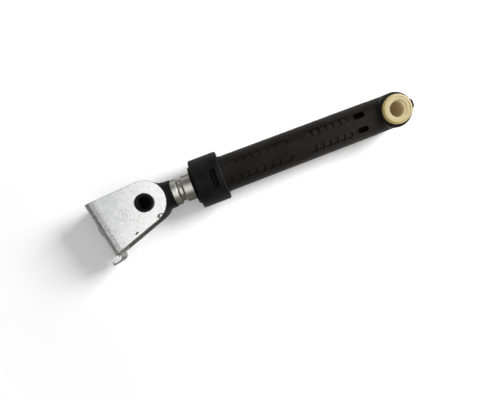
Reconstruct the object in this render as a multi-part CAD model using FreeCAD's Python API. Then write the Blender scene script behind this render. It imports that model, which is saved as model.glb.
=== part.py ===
import FreeCAD, Part
import math
import os

# Washing machine shock absorber: a friction damper with a moulded housing, a steel rod and a sheet foot.
# Millimetres. The origin is the middle of the housing's eye bore, +X runs along the damper from the eye to
# the foot, and +Z points up. The damper lies on its side, on its flat foot and on the rim of its lower bush,
# with the housing rolled a little about the rod.

# Clearances
RUN_FIT = 0.08
PRESS_FIT = 0.05
SEAT_GAP = 0.1
SIDE_PLAY = 0.3

# How far a cutter runs past the face that it opens
OVERCUT = 1.0

# Rod
ROD_OD = 18.0
ROD_WALL = 1.0
ROD_END_X = 158.0
ROD_TAIL = 3.0
GROOVE_DEPTH = 1.8
GROOVE_FLOOR = 2.3
GROOVE_SLOPE = 1.1
GROOVE_TO_END = 4.0
GROOVE_SPREAD = 0.5
GROOVE_ROUND = 0.45

# Travel of the rod, out from the position shown
TRAVEL_OUT = 72.0
STOP_MARGIN = 0.5

# Guide ring on the rod's inner end
RING_LENGTH = 5.6
RING_SEAT_DEPTH = 1.0
RING_SPLIT = 1.5

# Housing tube
HOUSING_ROLL = 5.0
ROD_TO_BORE = 1.2
WALL_AT_EYE = 1.55
WALL_AT_MOUTH = 2.2
BORE_FLOOR = 1.9
SHOULDER_X = 123.6

# Eye
BOSS_RIM = 0.1
BOSS_PROUD = 1.4
BOSS_ROUND = 3.0
LUG_WIDTH = 7.4
LUG_REACH = 3.6
LUG_HEIGHT = 11.0
LUG_CORNER = 2.6
LUG_ROUND = 0.8

# Eye bushes
BUSH_BORE = 10.6
BUSH_WALL = 2.4
BUSH_LIP = 2.05
BUSH_FLANGE = 3.15
BUSH_ROUND = 1.2
BUSH_RIM = 1.45
BUSH_LAND = 2.1
BUSH_STEP = 0.2
BUSH_MOUTH = 0.35

# Slots beside the eye
SLOT_X = 24.1
SLOT_Y = 4.9
SLOT_LENGTH = 7.6
SLOT_WIDTH = 3.7
SLOT_WEB = 2.0

# Pocket rows, each cut from above and from below, with floors that fall away from the tube's crown
POCKET_Y = 5.25
POCKET_WIDTH = 4.0
POCKET_DEPTH = 1.6
POCKET_LIFT = 1.35
POCKET_CORNER = 1.8
RIB = 1.0
EYE_ROW_X = 31.8
EYE_ROW_PITCH = 5.05
EYE_ROW_COUNT = 6
MOUTH_ROW_X = 73.9
MOUTH_ROW_FIRST = 8.6
MOUTH_ROW_PITCH = 5.52
MOUTH_ROW_COUNT = 7

# Cup at the housing's mouth, for the friction lining
LINING_THICKNESS = 3.3
LINING_LENGTH = 9.8
WASHER = 1.5
CUP_WALL = 2.0
CUP_FLOOR = 2.0
NECK_RING_LENGTH = 4.1
NECK_RING_RISE = 0.3

# Guide collar snapped over the cup
COLLAR_WALL = 2.35
COLLAR_SKIRT = 2.05
COLLAR_FRONT = 2.85
COLLAR_ROUND = 1.4
COLLAR_CHAMFER = 0.5
LIP_OD = 26.0
LIP_LENGTH = 1.85
LIP_CHAMFER = 0.4
WINDOW_WIDTH = 12.3
WINDOW_LENGTH = 3.8
WINDOW_FROM_BACK = 4.35
SNAP_GAP = 0.4
SNAP_BELOW = 1.1

# Rod eye and its pin
PIVOT_FROM_ROD = 18.1
PIN_OD = 12.2
PIN_WALL = 2.0
PIN_WEB = 3.0
PIN_ROUND = 0.5
PIN_RECESS = 0.3
EYE_WALL = 6.1
EYE_WIDTH = 28.6
EYE_ROUND = 0.8
NECK_RISE = 0.6
NECK_FLANGE = 3.4
NECK_INSET = 0.2
SHANK_LENGTH = 24.0

# Foot bracket, bent from sheet
SHEET = 2.4
BEND_INSIDE = 2.5
FOOT_ANGLE = 11.4
FOOT_LENGTH = 34.9
FOOT_BASE_WIDTH = 38.8
FOOT_END_RADIUS = 14.5
THREAD_CORE = 6.65
PLUNGE_OD = 14.0
PLUNGE_HEIGHT = 2.3
PLUNGE_ROUND = 0.6
TONGUE_WIDTH = 14.0
TONGUE_BEND = 1.5
TONGUE_OVERHANG = 0.9
TONGUE_REACH = 6.8
TONGUE_CORNER = 2.5

# Sizes that follow
ROD_R = ROD_OD / 2
BORE_R = ROD_R + ROD_TO_BORE
HOUSING_R_EYE = BORE_R + WALL_AT_EYE
HOUSING_R_MOUTH = BORE_R + WALL_AT_MOUTH
BOSS_R = HOUSING_R_EYE + BOSS_RIM
BOSS_HALF = HOUSING_R_EYE + BOSS_PROUD
SLEEVE_R = BUSH_BORE / 2 + BUSH_WALL
BUSH_END_Z = BOSS_HALF + BUSH_FLANGE
BORE_FLOOR_X = SLOT_X + SLOT_LENGTH / 2 + BORE_FLOOR
LINING_R = ROD_R + RUN_FIT + LINING_THICKNESS
CUP_R = LINING_R + SEAT_GAP
CUP_OUTER_R = CUP_R + CUP_WALL
CUP_FLOOR_X = SHOULDER_X + CUP_FLOOR
LINING_X = CUP_FLOOR_X + WASHER
FRONT_WASHER_X = LINING_X + LINING_LENGTH
CUP_END_X = FRONT_WASHER_X + WASHER
COLLAR_IN_R = CUP_OUTER_R + SEAT_GAP
COLLAR_R = COLLAR_IN_R + COLLAR_WALL
COLLAR_BACK_X = SHOULDER_X - COLLAR_SKIRT
COLLAR_WALL_X = CUP_END_X + SEAT_GAP
COLLAR_FACE_X = COLLAR_WALL_X + COLLAR_FRONT
LIP_END_X = COLLAR_FACE_X + LIP_LENGTH
GUIDE_R = ROD_R + SEAT_GAP
WASHER_R = ROD_R + SIDE_PLAY
RING_X = CUP_FLOOR_X - STOP_MARGIN - TRAVEL_OUT - RING_LENGTH
ROD_TAIL_X = RING_X - SIDE_PLAY - ROD_TAIL
GROOVE_X = ROD_END_X - GROOVE_TO_END - GROOVE_FLOOR - 2 * GROOVE_SLOPE
PIVOT_X = ROD_END_X + PIVOT_FROM_ROD
PIN_R = PIN_OD / 2
EYE_R = PIN_R + RUN_FIT + EYE_WALL
CHEEK_IN_Z = EYE_WIDTH / 2 + SIDE_PLAY
CHEEK_Z = CHEEK_IN_Z + SHEET
BEND_OUTSIDE = BEND_INSIDE + SHEET

X_AXIS = FreeCAD.Vector(1, 0, 0)
Y_AXIS = FreeCAD.Vector(0, 1, 0)
Z_AXIS = FreeCAD.Vector(0, 0, 1)
ORIGIN = FreeCAD.Vector(0, 0, 0)


def vec(x, y, z):
    return FreeCAD.Vector(x, y, z)


def box(x0, x1, y0, y1, z0, z1):
    """A block between the given limits."""
    return Part.makeBox(x1 - x0, y1 - y0, z1 - z0, vec(x0, y0, z0))


def turned_x(profile):
    """A solid turned about the X axis from (x, radius) points."""
    points = [vec(x, 0, r) for x, r in profile]
    face = Part.Face(Part.makePolygon(points + points[:1]))
    return face.revolve(ORIGIN, X_AXIS, 360)


def turned_z(profile):
    """A solid turned about the Z axis from (radius, z) points."""
    points = [vec(r, 0, z) for r, z in profile]
    face = Part.Face(Part.makePolygon(points + points[:1]))
    return face.revolve(ORIGIN, Z_AXIS, 360)


def ring_x(x0, x1, r_in, r_out):
    """A plain ring about the X axis."""
    return turned_x([(x0, r_in), (x1, r_in), (x1, r_out), (x0, r_out)])


def rounded(shape, radius, wanted):
    """The shape with a fillet on each edge that the test accepts."""
    return shape.makeFillet(radius, [edge for edge in shape.Edges if wanted(edge)])


def circle_at(edge, axis, place, radius):
    """Whether an edge is a circle of this radius, square to an axis, at this place along it."""
    curve = edge.Curve
    if not isinstance(curve, Part.Circle):
        return False
    same_axis = abs(abs(curve.Axis.dot(axis)) - 1) < 1e-6
    same_place = abs(curve.Center.dot(axis) - place) < 1e-4
    return same_axis and same_place and abs(curve.Radius - radius) < 1e-4


def rolled(shape):
    """The shape turned about the rod with the housing, its top towards +Y."""
    return shape.rotated(ORIGIN, X_AXIS, -HOUSING_ROLL)


def both_faces(shape):
    """The shape and its mirror image below the XY plane."""
    return [shape, shape.mirror(ORIGIN, Z_AXIS)]


def stadium(x0, x1, y, width, height):
    """A prism along Z with round ends, between two places along X."""
    r = width / 2
    body = box(x0 + r, x1 - r, y - r, y + r, 0, height)
    ends = [Part.makeCylinder(r, height, vec(x, y, 0), Z_AXIS) for x in (x0 + r, x1 - r)]
    return body.multiFuse(ends).removeSplitter()


def row_cells(start, first, pitch, count):
    """The limits along X of the pockets of one row, with a rib between each two."""
    cells = [(start, start + first - RIB)]
    for i in range(count - 1):
        x0 = start + first + i * pitch
        cells.append((x0, x0 + pitch - RIB))
    return cells


def pocket(x0, x1, y, round_start):
    """One pocket's prism, square or with a round end towards the eye."""
    half = POCKET_WIDTH / 2
    height = HOUSING_R_MOUTH + OVERCUT
    block = box(x0, x1, y - half, y + half, 0, height)
    if not round_start:
        return block
    uprights = lambda e: e.BoundBox.ZLength > height / 2
    return rounded(block, POCKET_CORNER, lambda e: uprights(e) and e.CenterOfMass.x < x0 + RIB)


def pocket_tools():
    """Every pocket's cutter. Its floor is a smaller cone, lifted so that the outer side is the deeper."""
    rows = [row_cells(EYE_ROW_X, EYE_ROW_PITCH, EYE_ROW_PITCH, EYE_ROW_COUNT)]
    rows.append(row_cells(MOUTH_ROW_X, MOUTH_ROW_FIRST, MOUTH_ROW_PITCH, MOUTH_ROW_COUNT))
    r_eye = HOUSING_R_EYE - POCKET_DEPTH
    r_mouth = HOUSING_R_MOUTH - POCKET_DEPTH
    floor = Part.makeCone(r_eye, r_mouth, SHOULDER_X, vec(0, 0, POCKET_LIFT), X_AXIS)
    tools = []
    for cells in rows:
        for i, (x0, x1) in enumerate(cells):
            for y in (-POCKET_Y, POCKET_Y):
                tools += both_faces(pocket(x0, x1, y, i == 0).cut(floor))
    return tools


def snap_lug():
    """The lug on the cup that springs into a collar window, with a ramp towards the mouth."""
    x0 = COLLAR_BACK_X + WINDOW_FROM_BACK + SNAP_GAP
    x1 = x0 + WINDOW_LENGTH - 2 * SNAP_GAP
    half = WINDOW_WIDTH / 2 - SNAP_GAP
    top = COLLAR_R - SNAP_BELOW
    ramp = (top - CUP_OUTER_R) / 2
    outline = [(x0, CUP_R), (x1, CUP_R), (x1, top - ramp), (x1 - ramp, top), (x0, top)]
    points = [vec(x, 0, z) for x, z in outline]
    face = Part.Face(Part.makePolygon(points + points[:1]))
    block = face.extrude(Y_AXIS * 2 * half).translated(vec(0, -half, 0))
    return block.common(ring_x(x0, x1, CUP_R + CUP_WALL / 2, top))


def housing_eye():
    """The eye's boss with its end lug, before the bores are cut."""
    boss = Part.makeCylinder(BOSS_R, 2 * BOSS_HALF, vec(0, 0, -BOSS_HALF), Z_AXIS)
    boss = rounded(boss, BOSS_ROUND, lambda e: circle_at(e, Z_AXIS, e.CenterOfMass.z, BOSS_R))
    tip = -BOSS_R - LUG_REACH
    lug = box(tip, 0, -LUG_WIDTH / 2, LUG_WIDTH / 2, -LUG_HEIGHT / 2, LUG_HEIGHT / 2)
    uprights = lambda e: e.BoundBox.ZLength > LUG_HEIGHT / 2
    lug = rounded(lug, LUG_CORNER, lambda e: uprights(e) and e.CenterOfMass.x < tip / 2)
    lug = rounded(lug, LUG_ROUND, lambda e: e.BoundBox.ZLength < 1e-6 and e.CenterOfMass.x < 0)
    return boss.fuse(lug)


def housing_tube():
    tube = Part.makeCone(HOUSING_R_EYE, HOUSING_R_MOUTH, SHOULDER_X, ORIGIN, X_AXIS)
    neck_r = HOUSING_R_MOUTH + NECK_RING_RISE
    neck_ring = ring_x(SHOULDER_X - NECK_RING_LENGTH, SHOULDER_X + CUP_FLOOR, BORE_R, neck_r)
    cup = ring_x(SHOULDER_X, CUP_END_X, BORE_R, CUP_OUTER_R)
    body = housing_eye().multiFuse([tube, neck_ring, cup] + both_faces(snap_lug()))
    cuts = [Part.makeCylinder(BORE_R, CUP_END_X, vec(BORE_FLOOR_X, 0, 0), X_AXIS)]
    cuts.append(Part.makeCylinder(CUP_R, CUP_END_X, vec(CUP_FLOOR_X, 0, 0), X_AXIS))
    cuts.append(Part.makeCylinder(SLEEVE_R + PRESS_FIT, 2 * BUSH_END_Z, vec(0, 0, -BUSH_END_Z), Z_AXIS))
    for y in (-SLOT_Y, SLOT_Y):
        slot = stadium(SLOT_X - SLOT_LENGTH / 2, SLOT_X + SLOT_LENGTH / 2, y, SLOT_WIDTH, HOUSING_R_MOUTH)
        cuts += both_faces(slot.translated(vec(0, 0, SLOT_WEB / 2)))
    return body.cut(cuts + pocket_tools()).removeSplitter()


def eye_bush():
    """The upper half of the eye's bush, with a round rim and two lands that step down to the bore."""
    bore = BUSH_BORE / 2
    flange = SLEEVE_R + BUSH_LIP
    outer_land = flange - BUSH_RIM
    inner_land = outer_land - BUSH_LAND
    outer_z = BUSH_END_Z - BUSH_STEP
    inner_z = outer_z - BUSH_STEP
    outline = [(bore, SEAT_GAP), (SLEEVE_R, SEAT_GAP), (SLEEVE_R, BOSS_HALF), (flange, BOSS_HALF)]
    outline += [(flange, BUSH_END_Z), (outer_land, BUSH_END_Z), (outer_land, outer_z), (inner_land, outer_z)]
    outline += [(inner_land, inner_z), (bore + BUSH_MOUTH, inner_z), (bore, inner_z - BUSH_MOUTH)]
    return rounded(turned_z(outline), BUSH_ROUND, lambda e: circle_at(e, Z_AXIS, BUSH_END_Z, flange))


def guide_collar():
    outline = [(COLLAR_BACK_X, COLLAR_IN_R), (COLLAR_WALL_X, COLLAR_IN_R), (COLLAR_WALL_X, GUIDE_R)]
    outline += [(LIP_END_X - LIP_CHAMFER, GUIDE_R), (LIP_END_X, GUIDE_R + LIP_CHAMFER)]
    outline += [(LIP_END_X, LIP_OD / 2 - LIP_CHAMFER), (LIP_END_X - LIP_CHAMFER, LIP_OD / 2)]
    outline += [(COLLAR_FACE_X, LIP_OD / 2), (COLLAR_FACE_X, COLLAR_R - COLLAR_CHAMFER)]
    outline += [(COLLAR_FACE_X - COLLAR_CHAMFER, COLLAR_R), (COLLAR_BACK_X, COLLAR_R)]
    body = rounded(turned_x(outline), COLLAR_ROUND, lambda e: circle_at(e, X_AXIS, COLLAR_BACK_X, COLLAR_R))
    x0 = COLLAR_BACK_X + WINDOW_FROM_BACK
    half = WINDOW_WIDTH / 2
    window = box(x0, x0 + WINDOW_LENGTH, -half, half, 0, COLLAR_R + OVERCUT)
    return body.cut(both_faces(window))


def friction_lining():
    return ring_x(LINING_X, FRONT_WASHER_X, ROD_R + RUN_FIT, LINING_R)


def lining_washer(x):
    return ring_x(x, x + WASHER, WASHER_R, LINING_R)


def groove(x, floor, slope, depth, radius, spread):
    """Profile points of a groove that starts at x, its walls moved apart by the spread on each side."""
    low = radius - depth
    outline = [(x - spread, radius), (x + slope - spread, low)]
    return outline + [(x + slope + floor + spread, low), (x + 2 * slope + floor + spread, radius)]


def rod_profile(radius, spread):
    """The rod's line along its length, at its outside or its inside."""
    seat = RING_LENGTH + 2 * SIDE_PLAY
    line = [(ROD_TAIL_X, radius)]
    seat_x = RING_X - SIDE_PLAY - RING_SEAT_DEPTH
    line += groove(seat_x, seat, RING_SEAT_DEPTH, RING_SEAT_DEPTH, radius, spread)
    line += groove(GROOVE_X, GROOVE_FLOOR, GROOVE_SLOPE, GROOVE_DEPTH, radius, spread)
    return line + [(ROD_END_X, radius)]


def damper_rod():
    outside = rod_profile(ROD_R, 0)
    inside = rod_profile(ROD_R - ROD_WALL, GROOVE_SPREAD)
    tube = turned_x(outside + inside[::-1])
    shoulders = (GROOVE_X, GROOVE_X + 2 * GROOVE_SLOPE + GROOVE_FLOOR, ROD_END_X)
    return rounded(tube, GROOVE_ROUND, lambda e: any(circle_at(e, X_AXIS, x, ROD_R) for x in shoulders))


def rod_guide_ring():
    """The split ring that springs into the rod's inner groove and runs in the housing's bore."""
    r_in = ROD_R - RING_SEAT_DEPTH + RUN_FIT
    ring = ring_x(RING_X, RING_X + RING_LENGTH, r_in, BORE_R - RUN_FIT)
    x1 = RING_X + RING_LENGTH + OVERCUT
    return ring.cut(box(RING_X - OVERCUT, x1, -RING_SPLIT / 2, RING_SPLIT / 2, 0, BORE_R))


def rod_eye():
    """The eye between the bracket's cheeks, its neck, and the shank inside the rod."""
    barrel = Part.makeCylinder(EYE_R, EYE_WIDTH, vec(PIVOT_X, 0, -EYE_WIDTH / 2), Z_AXIS)
    barrel = rounded(barrel, EYE_ROUND, lambda e: circle_at(e, Z_AXIS, e.CenterOfMass.z, EYE_R))
    neck_r = ROD_R + NECK_RISE
    flange = Part.makeCylinder(neck_r, NECK_FLANGE, vec(ROD_END_X, 0, 0), X_AXIS)
    neck_x = ROD_END_X + NECK_FLANGE
    neck = Part.makeCone(neck_r, EYE_R - NECK_INSET, PIVOT_X - neck_x, vec(neck_x, 0, 0), X_AXIS)
    shank_r = ROD_R - ROD_WALL - SEAT_GAP
    outline = [(ROD_END_X - SHANK_LENGTH, 0), (ROD_END_X - SHANK_LENGTH, shank_r)]
    outline += groove(GROOVE_X, GROOVE_FLOOR, GROOVE_SLOPE, GROOVE_DEPTH, shank_r, GROOVE_SPREAD + SEAT_GAP)
    outline += [(ROD_END_X, shank_r), (ROD_END_X, 0)]
    body = barrel.multiFuse([flange, neck, turned_x(outline)])
    bore = Part.makeCylinder(PIN_R + RUN_FIT, 2 * CHEEK_Z, vec(PIVOT_X, 0, -CHEEK_Z), Z_AXIS)
    return body.cut(bore).removeSplitter()


def pivot_pin():
    """The pin, cored out from both ends with a web left in the middle."""
    half = CHEEK_Z - PIN_RECESS
    inside = PIN_R - PIN_WALL
    pin = Part.makeCylinder(PIN_R, 2 * half, vec(PIVOT_X, 0, -half), Z_AXIS)
    pin = pin.cut(both_faces(Part.makeCylinder(inside, half, vec(PIVOT_X, 0, PIN_WEB / 2), Z_AXIS)))
    mouths = lambda e: any(circle_at(e, Z_AXIS, z, inside) for z in (half, -half))
    return rounded(pin, PIN_ROUND, mouths)


def cheek_outline():
    """The bracket seen along the pivot: a round end whose tangents run out to the base's corners."""
    half = FOOT_BASE_WIDTH / 2
    reach = math.hypot(FOOT_LENGTH, half)
    turn = math.atan2(half, FOOT_LENGTH) + math.acos(FOOT_END_RADIUS / reach)
    tangent = vec(FOOT_END_RADIUS * math.cos(turn), FOOT_END_RADIUS * math.sin(turn), 0)
    mirrored = vec(tangent.x, -tangent.y, 0)
    corners = [vec(FOOT_LENGTH, -half, 0), vec(FOOT_LENGTH, half, 0)]
    edges = [Part.Arc(tangent, vec(-FOOT_END_RADIUS, 0, 0), mirrored).toShape()]
    edges += [Part.makeLine(mirrored, corners[0]), Part.makeLine(*corners)]
    edges.append(Part.makeLine(corners[1], tangent))
    return Part.Face(Part.Wire(edges))


def bent_channel():
    """The bracket's U section, drawn in the XZ plane and run across its whole width."""
    width = FOOT_BASE_WIDTH + 2 * TONGUE_OVERHANG
    x0 = -FOOT_END_RADIUS - OVERCUT
    outer = box(x0, FOOT_LENGTH, -width / 2, width / 2, -CHEEK_Z, CHEEK_Z)
    outer = rounded(outer, BEND_OUTSIDE, lambda e: e.BoundBox.YLength > width / 2 and e.CenterOfMass.x > 0)
    inner = box(x0, FOOT_LENGTH - SHEET, -width / 2, width / 2, -CHEEK_IN_Z, CHEEK_IN_Z)
    inner = rounded(inner, BEND_INSIDE, lambda e: e.BoundBox.YLength > width / 2 and e.CenterOfMass.x > 0)
    return outer.cut(inner)


def tongue():
    """The hook that runs on from the base's end and is bent outwards."""
    root = FOOT_BASE_WIDTH / 2 - BEND_OUTSIDE
    centre_y = FOOT_BASE_WIDTH / 2 + TONGUE_OVERHANG
    centre_x = FOOT_LENGTH + TONGUE_BEND
    outside = TONGUE_BEND + SHEET
    half = TONGUE_WIDTH / 2
    riser = box(FOOT_LENGTH - SHEET, FOOT_LENGTH, root, centre_y, -half, half)
    bend = Part.makeCylinder(outside, TONGUE_WIDTH, vec(centre_x, centre_y, -half), Z_AXIS)
    bend = bend.cut(Part.makeCylinder(TONGUE_BEND, TONGUE_WIDTH, vec(centre_x, centre_y, -half), Z_AXIS))
    bend = bend.common(box(centre_x - outside, centre_x, centre_y, centre_y + outside, -half, half))
    y0 = centre_y + TONGUE_BEND
    toe = box(centre_x, FOOT_LENGTH + TONGUE_REACH, y0, y0 + SHEET, -half, half)
    across = lambda e: e.BoundBox.YLength > SHEET / 2
    toe = rounded(toe, TONGUE_CORNER, lambda e: across(e) and e.CenterOfMass.x > toe.CenterOfMass.x)
    return riser.multiFuse([bend, toe])


def foot_bracket():
    plate = cheek_outline().extrude(Z_AXIS * 2 * CHEEK_Z).translated(vec(0, 0, -CHEEK_Z))
    body = bent_channel().common(plate)
    root_x = FOOT_LENGTH - SHEET / 2
    face_x = FOOT_LENGTH + PLUNGE_HEIGHT
    plunge = Part.makeCylinder(PLUNGE_OD / 2, face_x - root_x, vec(root_x, 0, 0), X_AXIS)
    plunge = rounded(plunge, PLUNGE_ROUND, lambda e: circle_at(e, X_AXIS, face_x, PLUNGE_OD / 2))
    body = body.multiFuse([plunge, tongue()])
    cuts = [Part.makeCylinder(PIN_R + PRESS_FIT, 2 * CHEEK_Z, vec(0, 0, -CHEEK_Z), Z_AXIS)]
    cuts.append(Part.makeCylinder(THREAD_CORE / 2, FOOT_LENGTH, vec(FOOT_LENGTH / 2, 0, 0), X_AXIS))
    body = body.cut(cuts).removeSplitter()
    body.rotate(ORIGIN, Z_AXIS, FOOT_ANGLE)
    return body.translated(vec(PIVOT_X, 0, 0))


def write(name, shape):
    print(name, "valid" if shape.isValid() else "NOT VALID", len(shape.Solids), round(shape.Volume, 1))
    shape.exportStep("parts/" + name + ".step")


os.makedirs("parts", exist_ok=True)
write("housing_tube", rolled(housing_tube()))
upper, lower = both_faces(eye_bush())
write("eye_bush_upper", rolled(upper))
write("eye_bush_lower", rolled(lower))
write("guide_collar", rolled(guide_collar()))
write("friction_lining", friction_lining())
write("lining_washer_rear", lining_washer(CUP_FLOOR_X))
write("lining_washer_front", lining_washer(FRONT_WASHER_X))
write("damper_rod", damper_rod())
write("rod_guide_ring", rod_guide_ring())
write("rod_eye", rod_eye())
write("pivot_pin", pivot_pin())
write("foot_bracket", foot_bracket())
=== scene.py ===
# %% [markdown]
# # A washing machine shock absorber
#
# This lesson dresses a friction damper: a moulded black housing, a plated steel rod and a foot bent from
# zinc coated sheet. The solids come from CAD at their real size and stay where they are. Blender adds the
# finish of every surface, two small forms, the light and the camera.

import math

import bpy
from mathutils import Matrix, Vector


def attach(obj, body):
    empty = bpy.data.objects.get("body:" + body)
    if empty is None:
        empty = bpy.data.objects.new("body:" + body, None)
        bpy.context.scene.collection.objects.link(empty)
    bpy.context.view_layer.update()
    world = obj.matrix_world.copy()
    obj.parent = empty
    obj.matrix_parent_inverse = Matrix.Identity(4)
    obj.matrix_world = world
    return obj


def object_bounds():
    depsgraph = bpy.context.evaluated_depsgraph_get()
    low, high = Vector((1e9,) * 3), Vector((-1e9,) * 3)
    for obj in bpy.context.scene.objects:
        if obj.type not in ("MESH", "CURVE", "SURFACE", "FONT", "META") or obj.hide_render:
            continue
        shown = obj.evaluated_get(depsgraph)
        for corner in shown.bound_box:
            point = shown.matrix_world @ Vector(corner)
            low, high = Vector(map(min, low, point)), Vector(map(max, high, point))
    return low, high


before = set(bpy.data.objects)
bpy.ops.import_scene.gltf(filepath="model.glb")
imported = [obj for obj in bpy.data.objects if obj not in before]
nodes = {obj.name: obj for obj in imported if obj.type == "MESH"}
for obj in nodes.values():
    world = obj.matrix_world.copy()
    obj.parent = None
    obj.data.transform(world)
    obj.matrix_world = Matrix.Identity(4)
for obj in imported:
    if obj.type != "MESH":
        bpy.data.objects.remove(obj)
cad_box = [list(corner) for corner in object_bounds()]
MM = 0.001


def in_mm(box):
    return [[round(c / MM, 2) for c in corner] for corner in box]


print("solids", len(nodes))
print("CAD box in mm", in_mm(cad_box))

# %% [markdown]
# ## Camera
#
# The photograph looks straight down on the damper, which lies aslant across the picture. The lens is
# written in pixels of the 500 by 400 picture and turned into millimetres on the sensor. The point straight
# below the lens lies a little left of the middle of the picture, so the sensor is shifted by that much. A
# tilted camera would show the same sides of the part, but it would also narrow the far end.

# %% Camera
PICTURE_WIDTH_PX = 500
LENS_PX = 475
LEFT_OF_MIDDLE_PX = 9.5
BELOW_MIDDLE_PX = 0.8
SENSOR_MM = 36
CAMERA_AT = Vector((0.11701, 0.02104, 0.325))
PICTURE_RIGHT = Vector((-0.93502, 0.35458, 0)).normalized()
PICTURE_BACK = Vector((0, 0, 1))

camera_data = bpy.data.cameras.new("camera")
camera_data.sensor_width = SENSOR_MM
camera_data.lens = LENS_PX / PICTURE_WIDTH_PX * SENSOR_MM
camera_data.shift_x = LEFT_OF_MIDDLE_PX / PICTURE_WIDTH_PX
camera_data.shift_y = BELOW_MIDDLE_PX / PICTURE_WIDTH_PX
camera = bpy.data.objects.new("camera", camera_data)
bpy.context.scene.collection.objects.link(camera)
picture_up = PICTURE_BACK.cross(PICTURE_RIGHT)
turn = Matrix((PICTURE_RIGHT, picture_up, PICTURE_BACK)).transposed()
camera.matrix_world = Matrix.Translation(CAMERA_AT) @ turn.to_4x4()
bpy.context.scene.camera = camera
print("lens", round(camera_data.lens, 2), "mm, shift", camera_data.shift_x, camera_data.shift_y)

# %% [markdown]
# ## Shader maths
#
# Every finish below is worked out from the place of a point on the piece. Sums between sockets read best as
# plain Python, so a small class wraps a socket: `1 - mask` adds the Math node by itself. One method adds any
# other node: its settings come first, then the values or links of its sockets.

# %% A socket in Python sums
class Wire:
    """A shader socket that can stand in a Python sum."""

    def __init__(self, socket):
        self.socket = socket

    def node(self, kind, settings, sockets, output=0):
        tree = self.socket.id_data
        made = tree.nodes.new("ShaderNode" + kind)
        for name, value in settings.items():
            setattr(made, name, value)
        for key, value in sockets.items():
            if isinstance(value, Wire):
                tree.links.new(value.socket, made.inputs[key])
            else:
                made.inputs[key].default_value = value
        return Wire(made.outputs[output])

    def math(self, operation, first, second):
        return self.node("Math", {"operation": operation}, {0: first, 1: second})

    def __add__(self, other):
        return self.math("ADD", self, other)

    def __radd__(self, other):
        return self.math("ADD", other, self)

    def __sub__(self, other):
        return self.math("SUBTRACT", self, other)

    def __rsub__(self, other):
        return self.math("SUBTRACT", other, self)

    def __mul__(self, other):
        return self.math("MULTIPLY", self, other)

    def __rmul__(self, other):
        return self.math("MULTIPLY", other, self)

    def __abs__(self):
        return self.math("ABSOLUTE", self, 0)


print("a socket can be added, subtracted and multiplied")

# %% [markdown]
# ## Masks and patterns
#
# A finish is made of masks, numbers from 0 to 1 that say where something shows, and of colours mixed by
# them. These helpers give the few nodes that nearly every mask needs. A smooth step is the most useful one:
# it turns a distance in millimetres into a mask with a soft border. Below, a pair of sizes is such a border:
# where the mask begins, and where it is full.

# %% Helpers for masks
def rise(value, low, high):
    """A smooth 0 to 1 step as the value goes from low to high, or back where high is the smaller."""
    sockets = {"Value": value, "From Min": low, "From Max": high}
    return value.node("MapRange", {"interpolation_type": "SMOOTHSTEP"}, sockets)


def either(first, second):
    """The larger of two masks."""
    return first.math("MAXIMUM", first, second)


def axis(place, letter):
    return place.node("SeparateXYZ", {}, {0: place}, letter)


def length(vector):
    return vector.node("VectorMath", {"operation": "LENGTH"}, {0: vector}, "Value")


def scaled(vector, by):
    return vector.node("VectorMath", {"operation": "MULTIPLY"}, {0: vector, 1: by})


def stretched(place, scale, at=(0, 0, 0), turn=(0, 0, 0)):
    """The place as seen from a point, turned and scaled."""
    sockets = {"Vector": place, "Location": at, "Rotation": turn}
    return scaled(place.node("Mapping", {"vector_type": "TEXTURE"}, sockets), scale)


def noise(place, per_mm, detail=2):
    return place.node("TexNoise", {}, {"Vector": place, "Scale": per_mm, "Detail": detail})


def mixed(factor, first, second):
    """A colour between two, by a factor."""
    first, second = (c if isinstance(c, Wire) else (*c, 1) for c in (first, second))
    settings = {"data_type": "RGBA", "clamp_factor": True}
    return factor.node("Mix", settings, {0: factor, 6: first, 7: second}, 2)


print("eight helpers for masks and colours")

# %% [markdown]
# ## A finish starts the same way
#
# Object coordinates keep a pattern fixed to its piece while the damper moves. They are scaled to
# millimetres, so that every number below is a real size. The moulded and bent edges of the real part are
# never knife sharp: a Bevel node rounds the shading of an edge, and what it turns the normal by also shows
# where an edge is, which is where wear and dust begin, and where the foot gets a painted line of shade.

# %% Start of a finish
def new_finish(name):
    material = bpy.data.materials.new(name)
    material.use_nodes = True
    tree = material.node_tree
    here = tree.nodes.new("ShaderNodeTexCoord")
    metres = Wire(here.outputs["Object"])
    place = metres.node("VectorMath", {"operation": "SCALE"}, {0: metres, "Scale": 1 / MM})
    return material, tree.nodes["Principled BSDF"], place


def set_finish(shader, sockets):
    tree = shader.id_data
    for name, value in sockets.items():
        if isinstance(value, Wire):
            tree.links.new(value.socket, shader.inputs[name])
        else:
            shader.inputs[name].default_value = value


def soft_edge(place, radius_mm):
    """The normal with its edges rounded, and a mask that is 1 on those edges."""
    normal = place.node("Bevel", {"samples": 6}, {"Radius": radius_mm * MM}, "Normal")
    flat = place.node("NewGeometry", {}, {}, "Normal")
    along = place.node("VectorMath", {"operation": "DOT_PRODUCT"}, {0: normal, 1: flat}, "Value")
    return normal, rise(along, 0.995, 0.8)


def bumped(height, normal, depth_mm):
    sockets = {"Height": height, "Normal": normal, "Distance": depth_mm * MM, "Strength": 1.0}
    return height.node("Bump", {}, sockets)


def facing(place):
    """The piece's own normal, which turns with it."""
    return place.node("TexCoord", {}, {}, "Normal")


def dress(material, *names):
    """Puts a finish on solids."""
    for name in names:
        nodes[name].material_slots[0].material = material
    print(material.name, "on", ", ".join(names))


print("finishes read Object coordinates in mm")
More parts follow.
